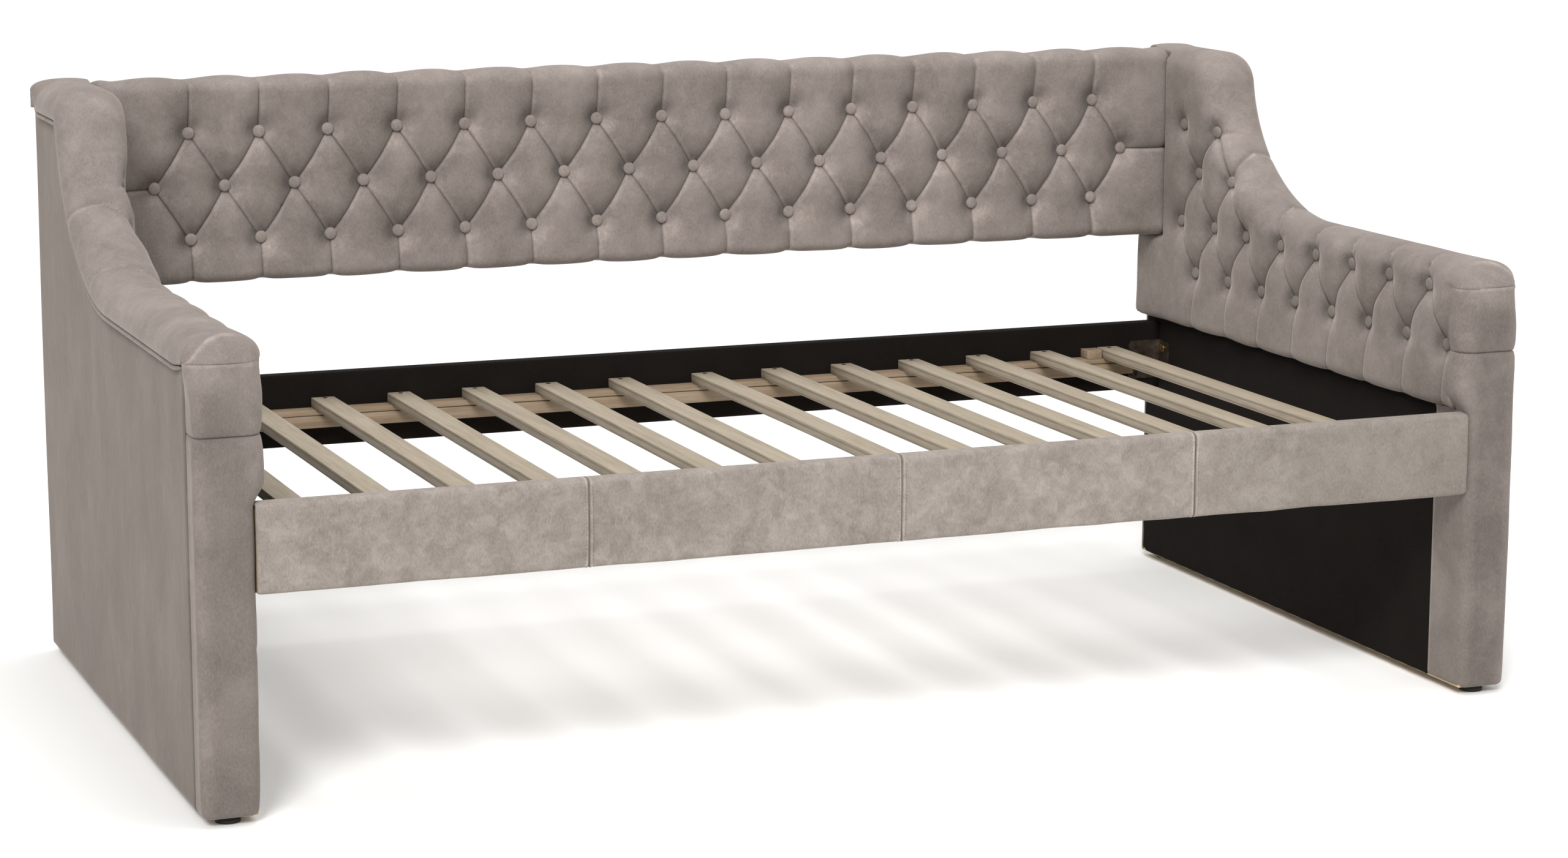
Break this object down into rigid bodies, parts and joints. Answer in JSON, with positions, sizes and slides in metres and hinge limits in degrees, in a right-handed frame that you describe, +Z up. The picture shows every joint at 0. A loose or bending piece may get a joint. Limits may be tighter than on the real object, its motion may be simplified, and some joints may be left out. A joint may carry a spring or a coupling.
{
  "type": "daybed",
  "caption": "Upholstered daybed with swooping padded arms, a diamond-tufted button back panel, covered rails and a slatted wooden deck for a single mattress.",
  "frame": {"origin": "on the floor, at the centre of the footprint", "axes": "+X along the length, to the right of someone facing the open front; +Y to the back; +Z up"},
  "size_m": [2.106, 1.11, 0.9448],
  "materials": {
    "velvet": "taupe upholstery velvet over foam, short nap with brushed lighter and darker marks",
    "cambric": "thin black non-woven dust cloth, stapled",
    "plywood": "sanded plywood, hidden under the covers",
    "pine": "planed reddish pine, unfinished",
    "slat_wood": "pale laminated poplar, unfinished, with glue lines on the edges",
    "bracket_metal": "pressed steel with a dark bronze coating",
    "bolt_metal": "yellow brass-coloured bolt",
    "screw_metal": "dark coated wood screw",
    "glide_plastic": "black moulded glide"
  },
  "bodies": {
    "root": {"left_arm_inner_panel": "plywood", "left_arm_outer_panel": "plywood", "left_arm_front_post": "pine", "left_arm_rear_post": "pine", "left_arm_bottom_rail": "pine", "left_arm_middle_rail": "pine", "left_arm_top_rail": "pine", "left_arm_pad": "velvet", "left_arm_buttons": "velvet", "left_arm_outer_cover": "velvet", "left_arm_welt": "velvet", "left_arm_front_wrap": "velvet", "left_arm_dust_cover": "cambric", "left_arm_glides": "glide_plastic", "right_arm_inner_panel": "plywood", "right_arm_outer_panel": "plywood", "right_arm_front_post": "pine", "right_arm_rear_post": "pine", "right_arm_bottom_rail": "pine", "right_arm_middle_rail": "pine", "right_arm_top_rail": "pine", "right_arm_pad": "velvet", "right_arm_buttons": "velvet", "right_arm_outer_cover": "velvet", "right_arm_welt": "velvet", "right_arm_front_wrap": "velvet", "right_arm_dust_cover": "cambric", "right_arm_glides": "glide_plastic", "back_board": "plywood", "back_battens": "pine", "back_pad": "velvet", "back_buttons": "velvet", "back_cover": "velvet", "back_bolts": "bolt_metal", "front_rail_board": "plywood", "front_rail_cover": "velvet", "front_ledger": "pine", "back_rail_board": "plywood", "back_rail_lining": "cambric", "back_rail_cover": "velvet", "back_ledger": "pine", "ledger_strips": "pine", "slat_1": "slat_wood", "slat_2": "slat_wood", "slat_3": "slat_wood", "slat_4": "slat_wood", "slat_5": "slat_wood", "slat_6": "slat_wood", "slat_7": "slat_wood", "slat_8": "slat_wood", "slat_9": "slat_wood", "slat_10": "slat_wood", "slat_11": "slat_wood", "slat_12": "slat_wood", "slat_13": "slat_wood", "slat_14": "slat_wood", "slat_block": "slat_wood", "corner_brackets": "bracket_metal", "rail_bolts": "bolt_metal", "wood_screws": "screw_metal"}
  },
  "joints": []
}
